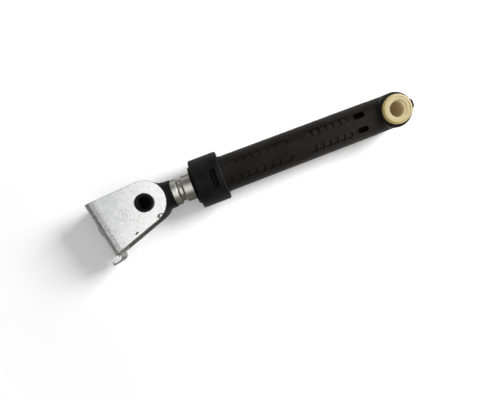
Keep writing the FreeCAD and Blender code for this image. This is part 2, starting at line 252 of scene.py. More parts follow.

# %% [markdown]
# ## Marks of the housing
#
# The housing has rows of pockets. Their floors are painted lighter, as painted light that lifts the shade in
# them, and their corners away from the crown and towards the eye are painted dark, as painted shade. So is
# the cup behind the collar's windows. One flank of the tube is painted browner and paler towards the eye, and
# so is
# the rim of the boss under the bush: painted light. The housing lies rolled about its tube, so these masks
# are measured from its own middle plane.

# %% Marks of the housing
ROLL = math.radians(5.0)
CUP_X_MM = 123.6
TUBE_R_EYE_MM = 11.75
TUBE_R_GROWTH = 0.65 / CUP_X_MM
BOSS_R_MM = 11.85
BOSS_BORDER_MM = (BOSS_R_MM + 0.2, BOSS_R_MM - 1.0)
BOSS_TOP_MM = (10.5, 12.5)
CUP_BORDER_MM = (CUP_X_MM, CUP_X_MM + 1)
LIT_FLANK_MM = (-3, 6)
LIT_TOWARDS_EYE_MM = (105, 15)
POCKETS_FROM_MM = (30.5, 31.5)
POCKETS_TO_MM = (116, 115)
POCKET_FLOOR_MM = (0.08, 0.2)
POCKET_DEEPEST_MM = (1.3, 1.1)
POCKET_OUTER_MM = (6.3, 6.9)
MARKS_FADE_ALONG_MM = (62, 80)
MARKS_FADE_ACROSS_MM = (2, -2)
TICK_MM = (0.95, 0.35)
ROW_END_MM = 0.1
EYE_ROW = (31.8, 62.1, 5.05)
MOUTH_FIRST = (73.9, 81.5, 9.0)
MOUTH_ROW = (82.5, 115.6, 5.52)


def row_ticks(along, row):
    """A mask of the painted shade in the corner towards the eye in each cell of a row."""
    start, end, pitch = row
    within = rise(along, start - ROW_END_MM, start) * rise(along, end + ROW_END_MM, end)
    step = along.math("FLOORED_MODULO", along - start, pitch)
    return within * rise(step, *TICK_MM)


def pocket_marks(along, across, from_axis):
    """Masks of the painted light on the pockets' floors and of the painted shade in their corners, fainter
    towards the mouth.
    """
    depth = TUBE_R_EYE_MM + TUBE_R_GROWTH * along - from_axis
    sunk = rise(depth, *POCKET_FLOOR_MM) * rise(depth, *POCKET_DEEPEST_MM)
    sunk = sunk * rise(along, *POCKETS_FROM_MM) * rise(along, *POCKETS_TO_MM)
    outer = rise(abs(across), *POCKET_OUTER_MM)
    ticks = row_ticks(along, EYE_ROW) + row_ticks(along, MOUTH_FIRST) + row_ticks(along, MOUTH_ROW)
    # The painted marks of the pockets fade towards the mouth, more on one side.
    marks_fade = rise(along, *MARKS_FADE_ALONG_MM) * (0.25 + 0.45 * rise(across, *MARKS_FADE_ACROSS_MM))
    sunk = sunk * (1 - marks_fade)
    return sunk, sunk * either(outer, ticks)


def housing_marks(place):
    """Masks of painted light on the housing's pocket floors, of painted shade in its corners and of painted
    light on one flank and the boss rim.
    """
    square = stretched(place, (1, 1, 1), turn=(-ROLL, 0, 0))
    along = axis(square, "X")
    across = axis(square, "Y")
    sunk, corner = pocket_marks(along, across, length(scaled(square, (0, 1, 1))))
    # Painted shade in the cup behind the collar's windows.
    corner = either(corner, 0.7 * rise(along, *CUP_BORDER_MM))
    boss = rise(length(scaled(square, (1, 1, 0))), *BOSS_BORDER_MM)
    boss = boss * rise(abs(axis(square, "Z")), *BOSS_TOP_MM)
    # Painted light on one flank towards the eye and on the rim of the boss under the bush.
    flank = rise(across, *LIT_FLANK_MM) * rise(along, *LIT_TOWARDS_EYE_MM)
    return sunk, corner, either(flank, boss)


print("pocket rows from", EYE_ROW[0], "to", MOUTH_ROW[1], "mm")

# %% [markdown]
# ## Black moulded plastic
#
# The housing, the collar and the rod's eye are moulded from black filled nylon. The mould is lightly
# textured, so the surface is matt with a fine grain. The plastic flows along the tube while it fills the
# mould, which leaves faint streaks. Edges that rub in a bin turn a little grey, and dust lies on it all.

# %% Black plastic
DUST = (0.075, 0.068, 0.058)
RUBBED_EDGE = (0.085, 0.08, 0.072)
# The next three colours are painted light on a flank and the boss rim, painted light on the pocket floors and
# painted shade in the pockets' corners.
PAINTED_LIGHT_BROWN = (0.0255, 0.0203, 0.0158)
POCKET_FLOOR_LIGHT = (0.026, 0.0245, 0.023)
CORNER_SHADE = (0.001, 0.001, 0.001)


def black_plastic(name, flow_scale, dark, pale, marks=None):
    material, shader, place = new_finish(name)
    normal, edge = soft_edge(place, 0.3)
    grain = noise(place, 4.0, 3)
    cloud = noise(place, 0.07, 3)
    streak = noise(stretched(place, flow_scale), 1.0, 4)
    dust = rise(noise(place, 0.9, 5), 0.58, 0.75)
    tone = rise(0.55 * cloud + 0.45 * streak, 0.36, 0.64)
    colour = mixed(tone, dark, pale)
    colour = mixed(0.16 * dust, colour, DUST)
    colour = mixed(edge * (0.1 + 0.3 * dust), colour, RUBBED_EDGE)
    rough = 0.43 + 0.1 * grain + 0.12 * cloud + 0.1 * dust
    if marks:
        sunk, corner, lit_flank_and_boss = marks(place)
        # Painted light on a flank and the boss rim, painted light on the pocket floors, painted shade in the
        # pockets' corners.
        colour = mixed(0.75 * lit_flank_and_boss, colour, PAINTED_LIGHT_BROWN)
        colour = mixed(0.35 * sunk, colour, POCKET_FLOOR_LIGHT)
        colour = mixed(0.9 * corner, colour, CORNER_SHADE)
        rough = rough + 0.3 * corner
    height = grain + 0.6 * streak
    set_finish(shader, {"Base Color": colour, "Roughness": rough, "Normal": bumped(height, normal, 0.035)})
    set_finish(shader, {"Specular IOR Level": 0.07})
    return material


FLOW_ALONG_TUBE = (0.035, 0.3, 0.3)
FLOW_ROUND_COLLAR = (0.2, 0.06, 0.2)
FLOW_UP_EYE = (0.1, 0.1, 0.3)
housing_black = black_plastic(
    "housing_black", FLOW_ALONG_TUBE, (0.0058, 0.0054, 0.0050), (0.0112, 0.0104, 0.0096), housing_marks)
collar_black = black_plastic(
    "collar_black", FLOW_ROUND_COLLAR, (0.0044, 0.0043, 0.0043), (0.0105, 0.0103, 0.0103))
eye_black = black_plastic(
    "eye_black", FLOW_UP_EYE, (0.0045, 0.0045, 0.0045), (0.0095, 0.0095, 0.0092))
dress(housing_black, "housing_tube")
dress(collar_black, "guide_collar")
dress(eye_black, "rod_eye", "pivot_pin")

# %% [markdown]
# ## Cream bushes
#
# The two eye bushes are natural acetal, a pale cream. Round the flange, on the side of the collar away from
# the lamp, they are painted a darker yellow olive: a yellowed tint with painted shade. They have faint rings
# from the mould, the foot of the flange is painted dark as painted shade where it meets the boss, and the
# wall of the bore is darker brown. An emission paints light on the flange's side and in the bore, strongest
# near the upper mouth on the side away from the collar, where the lamp lights the wall. All of it is measured
# from the rolled axis of the bore.

# %% Cream plastic
BORE_WALL_MM = (5.75, 5.35)
BORE_MOUTH_MM = (5, 16)
LIP_DEEP_MM = (-8, 2)
LIP_TOP_MM = (10, 17)
LIT_SIDE_MM = (0.5, 4.5)
AWAY_FROM_LAMP_MM = (-7, 10)
RIM_SHADE_MM = (6.8, 9.3)
FLANGE_SIDE_MM = (9.0, 9.7)
FLANGE_FOOT_SIDE_MM = (9.0, 9.6)
FLANGE_FOOT_MM = (15.2, 12.8)
FLANGE_GLOWS_MM = (12.9, 15.4)
BUSH_FACE = ((0.46, 0.38, 0.185), (0.455, 0.38, 0.222))
BUSH_CLOUD = (0.50, 0.42, 0.23)
BUSH_EDGE = (0.55, 0.47, 0.27)
# A yellow tint with painted shade, for the rim away from the lamp.
BUSH_YELLOW_SHADE = (0.38, 0.295, 0.085)
BUSH_GRAIN = (0.48, 0.38, 0.20)
BORE_BROWN = (0.28, 0.20, 0.10)
# Painted shade at the foot of the flange.
FLANGE_FOOT_SHADE = (0.10, 0.075, 0.02)
# Colours of painted light, given as an emission.
GLOW_DEEP = (0.060, 0.039, 0.017)
GLOW_MOUTH = (0.22, 0.18, 0.11)
GLOW_LIP = (0.62, 0.51, 0.31)
GLOW_FLANGE = (0.13, 0.108, 0.038)


def bush_painted_light(square, radius, bore):
    """The colour of painted light: the lamp-lit wall of the bore near the upper mouth, fainter deeper in, and
    the flange's side.
    """
    upper = axis(square, "Z")
    lit_side = rise(0.36 * axis(square, "Y") - 0.93 * axis(square, "X"), *LIT_SIDE_MM)
    lip = lit_side * (0.06 * rise(upper, *LIP_DEEP_MM) + 0.94 * rise(upper, *LIP_TOP_MM))
    inside = mixed(rise(upper, *BORE_MOUTH_MM), GLOW_DEEP, GLOW_MOUTH)
    inside = mixed(lip, inside, GLOW_LIP)
    flank = rise(radius, *FLANGE_SIDE_MM) * rise(abs(upper), *FLANGE_GLOWS_MM)
    return mixed(bore, mixed(flank, (0, 0, 0), GLOW_FLANGE), inside)


def cream_plastic(name):
    material, shader, place = new_finish(name)
    square = stretched(place, (1, 1, 1), turn=(-ROLL, 0, 0))
    radius = length(scaled(square, (1, 1, 0)))
    normal, edge = soft_edge(place, 0.2)
    cloud = noise(place, 0.25, 3)
    grain = noise(place, 3.0, 3)
    rings = radius.node("TexNoise", {"noise_dimensions": "1D"}, {"W": radius, "Scale": 2.2, "Detail": 2.0})
    bore = rise(radius, *BORE_WALL_MM)
    bore_patches = rise(noise(place, 0.5, 4), 0.3, 0.7)
    away_from_lamp = rise(axis(square, "X") + 0.5 * axis(square, "Y"), *AWAY_FROM_LAMP_MM)
    flange_foot = rise(abs(axis(square, "Z")), *FLANGE_FOOT_MM) * rise(radius, *FLANGE_FOOT_SIDE_MM)
    colour = mixed(away_from_lamp, *BUSH_FACE)
    colour = mixed(0.25 * rise(cloud, 0.3, 0.7), colour, BUSH_CLOUD)
    colour = mixed(edge * 0.25, colour, BUSH_EDGE)
    # Painted shade: the outer rim is darker olive on the side away from the lamp.
    colour = mixed(0.75 * away_from_lamp * rise(radius, *RIM_SHADE_MM), colour, BUSH_YELLOW_SHADE)
    colour = mixed(0.12 * rise(grain, 0.55, 0.75), colour, BUSH_GRAIN)
    # The bore's wall is darker brown, in patches.
    colour = mixed(bore * (0.5 + 0.3 * bore_patches), colour, BORE_BROWN)
    # Painted shade at the foot of the flange, where it meets the boss.
    colour = mixed(0.8 * flange_foot, colour, FLANGE_FOOT_SHADE)
    rough = 0.36 + 0.12 * grain + 0.1 * bore
    height = 0.5 * grain + 0.5 * rings
    set_finish(shader, {"Base Color": colour, "Roughness": rough, "Normal": bumped(height, normal, 0.03)})
    # Painted light, given as an emission on the bore's wall and the flange's side.
    set_finish(shader, {"Emission Color": bush_painted_light(square, radius, bore), "Emission Strength": 1.0})
    set_finish(shader, {"Specular IOR Level": 0.4, "Subsurface Weight": 0.12, "Subsurface Scale": 1.5 * MM})
    set_finish(shader, {"Subsurface Radius": (1.0, 0.7, 0.3)})
    return material


dress(cream_plastic("bush_cream"), "eye_bush_upper", "eye_bush_lower")

# %% [markdown]
# ## White nylon
#
# The guide ring on the rod's inner end and the two washers beside the lining are plain white nylon, seen
# only through the mouth or with the parts drawn apart. They get the same care: a faint grain, a softly
# glossy skin and a grey bloom of grease.

# %% White plastic
def white_plastic(name):
    material, shader, place = new_finish(name)
    normal, _ = soft_edge(place, 0.2)
    cloud = noise(place, 0.3, 3)
    grain = noise(place, 3.5, 2)
    grease = rise(noise(place, 0.18, 4), 0.5, 0.72)
    colour = mixed(cloud, (0.74, 0.73, 0.69), (0.82, 0.81, 0.78))
    colour = mixed(0.35 * grease, colour, (0.46, 0.42, 0.33))
    rough = 0.42 + 0.1 * grain - 0.14 * grease
    set_finish(shader, {"Base Color": colour, "Roughness": rough, "Normal": bumped(grain, normal, 0.02)})
    set_finish(shader, {"Specular IOR Level": 0.4})
    return material


dress(white_plastic("nylon_white"), "rod_guide_ring", "lining_washer_rear", "lining_washer_front")

# %% [markdown]
# ## Greased foam
#
# The friction lining is a sleeve of open foam soaked in grease. It grips the rod and turns its movement into
# heat. Cells of a Voronoi texture stand for the pores, painted darker at their middle as painted shade in the
# holes, with patches of grease over them.

# %% Lining foam
def lining_foam(name):
    material, shader, place = new_finish(name)
    cell = place.node("TexVoronoi", {}, {"Vector": place, "Scale": 1.6}, "Distance")
    fine = place.node("TexVoronoi", {}, {"Vector": place, "Scale": 4.0}, "Distance")
    pore = rise(cell, 0.42, 0.18) * 0.7 + rise(fine, 0.36, 0.14) * 0.3
    wet = rise(noise(place, 0.25, 3), 0.42, 0.65)
    # Painted shade in the middle of each pore.
    colour = mixed(pore, (0.30, 0.25, 0.18), (0.07, 0.055, 0.04))
    colour = mixed(0.4 * wet, colour, (0.16, 0.12, 0.06))
    normal = place.node("NewGeometry", {}, {}, "Normal")
    rough = 0.85 - 0.4 * wet
    set_finish(shader, {"Base Color": colour, "Roughness": rough, "Normal": bumped(1 - pore, normal, 0.2)})
    return material


dress(lining_foam("lining_foam"), "friction_lining")

# %% [markdown]
# ## Plated rod
#
# The rod is a thin steel tube, zinc plated and bright. Drawing leaves fine lines along it and turning leaves
# rings, so two stretched noises are laid over each other. The groove that locks the rod to its eye is rolled
# in, and its two corners and the end of the bead are darker. Both flanks are painted duller and darker, as
# painted shade where they face the dark walls of the room. On the stretch outside the collar they are painted
# darker still, and one of them brown: painted shade.

# %% Plated steel
GROOVE_CORNERS_MM = (150.2, 153.3)
BEAD_END_MM = 157.8
OUTSIDE_MM = (133, 141)
CORNER_DARKENED_MM = (0.85, 0.25)
END_DARKENED_MM = (0.7, 0.1)
STEEL = ((0.66, 0.63, 0.58), (0.86, 0.84, 0.79))
# Painted shade on both flanks.
STEEL_FLANK_SHADE = (0.26, 0.235, 0.20)
STEEL_CLOUD = (0.62, 0.55, 0.44)
STEEL_SPOT = (0.34, 0.30, 0.25)
# The next two colours are painted shade on the flanks outside the collar.
FLANK_SHADE_BROWN = (0.12, 0.095, 0.066)
FLANK_SHADE_DARK = (0.035, 0.032, 0.027)
DARKENED = (0.05, 0.042, 0.032)


def plated_steel(name):
    material, shader, place = new_finish(name)
    normal, _ = soft_edge(place, 0.25)
    drawn = noise(stretched(place, (0.05, 3.0, 3.0)), 1.0, 4)
    rings = noise(stretched(place, (7.0, 0.12, 0.12)), 1.0, 3)
    cloud = noise(place, 0.22, 4)
    along = axis(place, "X")
    # Darker in the groove's two corners and at the end of the bead.
    darkened = rise(abs(along - BEAD_END_MM), *END_DARKENED_MM)
    for corner in GROOVE_CORNERS_MM:
        darkened = darkened + rise(abs(along - corner), *CORNER_DARKENED_MM)
    darkened = darkened * (0.55 + 0.5 * rise(cloud, 0.3, 0.7))
    spots = rise(noise(place, 1.3, 4), 0.62, 0.72)
    sideways = axis(facing(place), "Y")
    # Painted shade on both flanks, which also makes them rougher.
    dull_and_shaded = rise(abs(sideways), 0.45, 0.8)
    outside = rise(along, *OUTSIDE_MM)
    # Painted shade outside the collar: darker on both flanks, brown on one.
    flank = outside * rise(abs(sideways), 0.7, 0.95)
    brown_flank_shade = outside * rise(sideways, 0.25, 0.75)
    colour = mixed(rise(rings, 0.3, 0.7), *STEEL)
    colour = mixed(0.5 * dull_and_shaded, colour, STEEL_FLANK_SHADE)
    colour = mixed(0.3 * rise(cloud, 0.5, 0.75), colour, STEEL_CLOUD)
    colour = mixed(0.5 * spots, colour, STEEL_SPOT)
    colour = mixed(0.7 * brown_flank_shade, colour, FLANK_SHADE_BROWN)
    colour = mixed(0.9 * flank, colour, FLANK_SHADE_DARK)
    colour = mixed(darkened, colour, DARKENED)
    rough = 0.33 + 0.14 * rings + 0.1 * drawn + 0.2 * darkened + 0.1 * dull_and_shaded
    height = rings + 0.7 * drawn
    set_finish(shader, {"Base Color": colour, "Roughness": rough, "Normal": bumped(height, normal, 0.012)})
    set_finish(shader, {"Metallic": 1 - 0.5 * darkened})
    return material


dress(plated_steel("rod_zinc"), "damper_rod")

# %% [markdown]
# ## Zinc coat of the foot
#
# The foot is stamped and bent from sheet that was dipped in zinc before it was cut. Zinc freezes in flat
# crystals, each of which shines a little differently, and the skin is peppered with small dark specks. The
# coat is painted lighter towards the pivot, nearer the lamp, and towards the lower edge, and darker towards
# the
# bend: painted light. A Voronoi texture gives the crystals, with its input wobbled so that their borders
# aren't straight. All is measured from the pivot, along the foot.

# %% Zinc coat
PIVOT_MM = (176.1, 0, 0)
FOOT_TURN = math.radians(11.4)
BEND_START_MM = 30.0
DRAGGED_MM = (5.0, 0.5)
LIT_TOWARDS_PIVOT_MM = (-42, 8)
ZINC = ((0.70, 0.705, 0.71), (0.99, 0.99, 0.985))
ZINC_GRAIN = (0.50, 0.50, 0.49)
ZINC_SPECK = (0.20, 0.20, 0.195)


def zinc_coat(place, foot):
    """The colour of the coat with a painted light gradient, and its shine, its clouds, its grain and its
    specks.
    """
    along = axis(foot, "X")
    wobble = place.node("TexNoise", {}, {"Vector": place, "Scale": 0.5, "Detail": 3.0}, "Color")
    sockets = {0: wobble, 1: (2.5, 2.5, 2.5), 2: foot}
    warped = place.node("VectorMath", {"operation": "MULTIPLY_ADD"}, sockets)
    shine = axis(warped.node("TexVoronoi", {}, {"Vector": warped, "Scale": 0.5}, "Color"), "X")
    mottle = noise(foot, 0.3, 5)
    fine = noise(foot, 2.6, 2)
    speck = rise(noise(foot, 1.5, 4), 0.57, 0.64)
    dragged = rise(abs(along - BEND_START_MM), *DRAGGED_MM)
    # Painted light: lighter towards the pivot and the lower edge, darker towards the bend.
    lit_towards_pivot = rise(axis(foot, "Y") - 0.9 * along, *LIT_TOWARDS_PIVOT_MM)
    tone = 0.5 * lit_towards_pivot + 0.25 * shine + 0.25 * rise(mottle, 0.3, 0.7)
    colour = mixed(rise(tone, 0.1, 0.9), *ZINC)
    colour = mixed(0.22 * rise(fine, 0.5, 0.7), colour, ZINC_GRAIN)
    colour = mixed(speck * (0.2 + 0.25 * mottle + 0.45 * dragged), colour, ZINC_SPECK)
    return colour, shine, mottle, fine, speck


print("foot turned", round(math.degrees(FOOT_TURN), 1), "degrees about x", PIVOT_MM[0], "mm")

# %% [markdown]
# ## Marks of the press
#
# A plain pressed ring, a dark nick and a curled burr are where the real bracket has its marks. The bend is
# painted as shade: a darker band over it, a dark line at its start and a fading darkness before it. Each mark
# is a distance from a point or a line, made ragged by a noise where the real one is.

# %% Marks of the press
FOOT_LENGTH_MM = 34.9
CHEEK_Z_MM = 14.6
CHEEK_MM = (CHEEK_Z_MM - 1, CHEEK_Z_MM)
FOOT_END_MM = (FOOT_LENGTH_MM + 0.6, FOOT_LENGTH_MM)
FOOT_SIDE_MM = (20.2, 19.4)
BEND_MM = (BEND_START_MM + 1.4, BEND_START_MM + 2.8)
SHADE_FADE_MM = (BEND_START_MM - 5, BEND_START_MM - 0.5)
SHADE_LINE_AT_MM = BEND_START_MM - 0.3
SHADE_LINE_MM = (1.2, 0.3)
RING_AT = (15.3, 0.4)
RING_RADII = (1.9, 3.8)
RING_LINE_MM = (0.45, 0.1)
PRESSED_LINE = (0.30, 0.30, 0.29)
# The next three colours are painted shade of the bend.
BEND_SHADE_FADE = (0.34, 0.335, 0.33)
BEND_SHADE_LINE = (0.18, 0.178, 0.175)
BEND_SHADE = (0.16, 0.158, 0.155)


def on_cheek(foot):
    """A mask of the upper cheek's outer side."""
    return rise(axis(foot, "Z"), *CHEEK_MM)


def spot(foot, at, size, turn_deg, rag):
    """A mask of an oval spot on the upper cheek, with a ragged rim."""
    near = stretched(foot, (1 / size[0], 1 / size[1], 0), (*at, 0), (0, 0, math.radians(turn_deg)))
    ragged = length(near) + rag * (noise(foot, 1.6, 3) - 0.5)
    return rise(ragged, 1.1, 0.8) * on_cheek(foot)


def nick_and_burr(foot):
    nick = spot(foot, (14.2, 14.4), (1.35, 0.6), 14, 0.35)
    burr = spot(foot, (-5.2, 13.2), (2.8, 1.8), -20, 0.8)
    return nick + burr * (1 - spot(foot, (-5.0, 12.9), (1.2, 0.65), 20, 0.5))


def pressed_ring(foot):
    """A mask of the two thin circles pressed into the upper cheek."""
    far = length(stretched(foot, (1, 1, 0), (*RING_AT, 0)))
    inner, outer = (rise(abs(far - radius), *RING_LINE_MM) for radius in RING_RADII)
    return (inner + outer) * on_cheek(foot)


def marked(foot, colour, rings, mottle, fine):
    """The colour of the coat with the pressed ring and the painted shade of the bend."""
    along = axis(foot, "X")
    on_foot = rise(along, *FOOT_END_MM) * rise(axis(foot, "Y"), *FOOT_SIDE_MM)
    # Painted shade of the bend: a darker band over it, a dark line at its start and a fade before it, made
    # patchy by a noise.
    bend = rise(along + fine, *BEND_MM) * on_foot
    shade_line = rise(abs(along + 1.2 * mottle - SHADE_LINE_AT_MM), *SHADE_LINE_MM)
    shade_fade = rise(along, *SHADE_FADE_MM) * on_foot
    patchy = rise(noise(foot, 1.0, 4), 0.3, 0.7)
    colour = mixed(0.38 * rings * rise(mottle, 0.3, 0.6), colour, PRESSED_LINE)
    colour = mixed(shade_fade * (0.15 + 0.4 * patchy), colour, BEND_SHADE_FADE)
    colour = mixed(shade_line * (0.1 + 0.5 * patchy), colour, BEND_SHADE_LINE)
    return mixed(0.5 * bend, colour, BEND_SHADE)


print("bend starts", BEND_START_MM, "mm from the pivot")

# %% [markdown]
# ## Bare metal of the foot
#
# The cut edges are bare steel with the drag lines of the shear, their dark colour partly painted shade. The
# plunge's side, the tongue's root and toe and the rim of the tongue's curl are painted dark as painted shade.
# So are the inside of the channel, a ring on the flat sides beside the pin and a line along the edges of the
# flat sides. The piece's own normal tells a cut edge from a flat side, and the place along the foot tells the
# rest.

# %% Zinc sheet
FLAT_CHEEK_MM = (27.0, 24.0)
PLUNGE_FROM_MM = (FOOT_LENGTH_MM + 0.05, FOOT_LENGTH_MM + 0.3)
PLUNGE_SIDE_MM = (8.0, 7.5)
CHANNEL_MM = (6, 10)
TONGUE_FROM_MM = (16.5, 18.0)
TONGUE_BACK_MM = (36.6, 36.2)
TONGUE_SIDE_MM = (9.0, 8.0)
TONGUE_ROOT_MM = (21.2, 20.2)
TOE_FROM_MM = (35.0, 36.0)
TOE_EDGE_MM = (22.9, 23.4)
TOE_END_MM = (40.9, 41.3)
TONGUE_CURL_AT = (36.4, 20.3)
CURL_RIM_MM = (3.0, 3.5)
PIN_SEAT_AT = (-0.25, 0.15)
PIN_SEAT_MM = (6.9, 6.1)
PIN_SEAT_TURN = math.radians(-32)
# Bare steel darkened partly as painted shade, then four colours of painted shade.
BARE_AND_SHADED = ((0.07, 0.068, 0.065), (0.20, 0.196, 0.19))
CURL_RIM_SHADE = (0.03, 0.029, 0.028)
EDGE_SHADE = (0.12, 0.12, 0.118)
CHANNEL_SHADE = ((0.07, 0.069, 0.067), (0.15, 0.148, 0.144))
PIN_HOLE_SHADE = (0.02, 0.019, 0.017)
NICK = (0.008, 0.0075, 0.007)


def tongue_shade(foot, upright):
    """Masks of painted shade at the tongue's root and toe, and on the rim of its curl."""
    along = axis(foot, "X")
    across = axis(foot, "Y")
    on_tongue = rise(across, *TONGUE_FROM_MM) * rise(along, *TONGUE_BACK_MM)
    on_tongue = on_tongue * rise(axis(foot, "Z"), *TONGUE_SIDE_MM)
    shaded = rise(upright, 0.9, 0.5)
    root = on_tongue * either(shaded, rise(across, *TONGUE_ROOT_MM))
    toe = rise(along, *TOE_FROM_MM) * rise(across, *TOE_EDGE_MM)
    toe = either(toe, rise(along, *TOE_END_MM))
    curl = length(stretched(foot, (1, 1, 0), (*TONGUE_CURL_AT, 0)))
    return either(root, toe), on_tongue * rise(curl, *CURL_RIM_MM) * (1 - shaded)


def pin_hole_shade(foot, upright):
    """A mask of painted shade in a ring beside the pin, on the flat sides."""
    size = (1 / PIN_SEAT_MM[0], 1 / PIN_SEAT_MM[1], 0)
    beside = stretched(foot, size, (*PIN_SEAT_AT, 0), (0, 0, PIN_SEAT_TURN))
    return rise(length(beside), 1.03, 0.98) * rise(upright, 0.5, 0.9)


def zinc_sheet(name):
    material, shader, place = new_finish(name)
    normal, edge = soft_edge(place, 0.7)
    foot = stretched(place, (1, 1, 1), PIVOT_MM, (0, 0, FOOT_TURN))
    along = axis(foot, "X")
    colour, shine, mottle, fine, speck = zinc_coat(place, foot)
    rings = pressed_ring(foot)
    colour = marked(foot, colour, rings, mottle, fine)

    outwards = facing(place)
    turned = stretched(outwards, (1, 1, 1), turn=(0, 0, FOOT_TURN))
    upright = abs(axis(turned, "Z"))
    cut = rise(abs(axis(turned, "Y")), 0.35, 0.6) + rise(along, *FLAT_CHEEK_MM) * rise(upright, 0.6, 0.3)
    plunge = rise(along, *PLUNGE_FROM_MM) * rise(abs(axis(foot, "Y")), *PLUNGE_SIDE_MM)
    inside = rise(0 - axis(outwards, "Z") * axis(place, "Z"), *CHANNEL_MM)
    tongue, curl_rim = tongue_shade(foot, upright)
    hole_shade = pin_hole_shade(foot, upright)
    nick = nick_and_burr(foot)
    drag = noise(stretched(foot, (1.6, 1.6, 0.25)), 1.0, 3)
    bare = mixed(drag, *BARE_AND_SHADED)
    # The cut edges: bare steel, darkened partly as painted shade; the plunge's side: painted shade.
    colour = mixed(either(cut, 0.85 * plunge), colour, bare)
    # Painted shade at the tongue's root and toe.
    colour = mixed(0.8 * tongue, colour, bare)
    # Painted shade on the rim of the tongue's curl.
    colour = mixed(0.85 * curl_rim, colour, CURL_RIM_SHADE)
    # A painted line of shade along the edges of the flat sides.
    colour = mixed(0.9 * edge * rise(upright, 0.6, 0.9), colour, EDGE_SHADE)
    # Painted shade inside the channel.
    colour = mixed(inside, colour, mixed(mottle, *CHANNEL_SHADE))
    # Painted shade in a ring beside the pin.
    colour = mixed(0.9 * hole_shade, colour, PIN_HOLE_SHADE)
    colour = mixed(nick, colour, NICK)

    rough = 0.32 + 0.14 * shine + 0.08 * mottle + 0.14 * speck + 0.12 * cut + 0.2 * inside
    height = 0.5 * mottle + 0.35 * fine - 0.5 * speck - 1.2 * rings + cut * drag
    set_finish(shader, {"Base Color": colour, "Roughness": rough, "Normal": bumped(height, normal, 0.03)})
    set_finish(shader, {"Metallic": 0.62 + 0.2 * cut - 0.3 * inside - 0.5 * (nick + hole_shade)})
    return material


zinc = zinc_sheet("foot_zinc")
dress(zinc, "foot_bracket")

# %% [markdown]
# ## Shapes from Geometry Nodes
#
# Two small forms are left to add: a screw thread and a mould seam. Both are a profile that follows a path, so
# both come from the same few steps. A tree gets named inputs for its sizes, sweeps the profile, makes the
# result real and gives it a finish. It runs once on an empty seed, and what it made is kept as a plain mesh.

# %% Tools for the trees
def node_tree(name, sizes):
    """A new geometry tree with named number inputs, and those inputs."""
    tree = bpy.data.node_groups.new(name, "GeometryNodeTree")
    tree.interface.new_socket("Geometry", in_out="OUTPUT", socket_type="NodeSocketGeometry")
    for label in sizes:
        tree.interface.new_socket(label, in_out="INPUT", socket_type="NodeSocketFloat")
    return tree, tree.nodes.new("NodeGroupInput").outputs


def grown(tree, kind, sockets):
    """A node of a geometry tree, with its values or links."""
    made = tree.nodes.new(kind)
    for key, value in sockets.items():
        if isinstance(value, bpy.types.NodeSocket):
            tree.links.new(value, made.inputs[key])
        else:
            made.inputs[key].default_value = value
    return made.outputs[0]


def swept(tree, path, sides, radius):
    """A closed bar along a path, with a profile of so many sides."""
    profile = grown(tree, "GeometryNodeCurvePrimitiveCircle", {"Resolution": sides, "Radius": radius})
    return grown(tree, "GeometryNodeCurveToMesh", {0: path, 1: profile, "Fill Caps": True})


def finished(tree, shape, material):
    real = grown(tree, "GeometryNodeRealizeInstances", {0: shape})
    dressed = grown(tree, "GeometryNodeSetMaterial", {"Geometry": real, "Material": material})
    tree.links.new(dressed, tree.nodes.new("NodeGroupOutput").inputs[0])


def plain_mesh(name, tree, sizes, place):
    """Runs the tree once with these sizes and keeps the result as a plain mesh, at its place."""
    seed = bpy.data.objects.new(name + "_seed", bpy.data.meshes.new(name + "_seed"))
    bpy.context.scene.collection.objects.link(seed)
    runs = seed.modifiers.new("shape", "NODES")
    runs.node_group = tree
    for item in tree.interface.items_tree:
        if item.in_out == "INPUT":
            runs[item.identifier] = sizes[item.name]
    graph = bpy.context.evaluated_depsgraph_get()
    mesh = bpy.data.meshes.new_from_object(seed.evaluated_get(graph))
    bpy.data.objects.remove(seed)
    mesh.transform(place)
    piece = bpy.data.objects.new(name, mesh)
    bpy.context.scene.collection.objects.link(piece)
    print(name, len(mesh.polygons), "faces")
    return piece


print("a tree sweeps a profile along a path")

# %% [markdown]
# ## Screw thread in the foot
#
# The foot's base has a plunged collar with a coarse thread for the screw that holds it down. A thread is one
# ridge that follows a helix, so the tree sweeps a four sided profile along a spiral. Half of the ridge is
# sunk in the wall of the bore and half stands out of it.

# %% Thread
THREAD_FROM_MM = 33.0
TURN_POINTS = 40
RIDGE_SIDES = 4

thread_sizes = {"Radius": 3.325 * MM, "Height": 3.6 * MM, "Turns": 2.9, "Ridge": 0.34 * MM}
tree, size = node_tree("screw_thread", thread_sizes)
spiral = grown(tree, "GeometryNodeCurveSpiral", {
    "Resolution": TURN_POINTS, "Rotations": size["Turns"], "Height": size["Height"],
    "Start Radius": size["Radius"], "End Radius": size["Radius"]})
finished(tree, swept(tree, spiral, RIDGE_SIDES, size["Ridge"]), zinc)
lay_down = Matrix.Rotation(math.radians(90), 4, "Y")
along_foot = Matrix.Rotation(FOOT_TURN, 4, "Z") @ Matrix.Translation((THREAD_FROM_MM * MM, 0, 0))
from_pivot = Matrix.Translation(Vector(PIVOT_MM) * MM) @ along_foot @ lay_down
thread = plain_mesh("screw_thread", tree, thread_sizes, from_pivot)
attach(thread, "foot")

# %% [markdown]
# ## Mould seam
#
# The housing's mould opens up and down, because the pocket rows and slots are cored from those sides. Where
# its halves meet, a hair of plastic stands proud along both flanks of the tube. It is a thin line on a cone,
# so the tree sweeps a small circle along it and lays a second one opposite.

# %% Seam
SEAM_POINTS = 24
BEAD_SIDES = 8

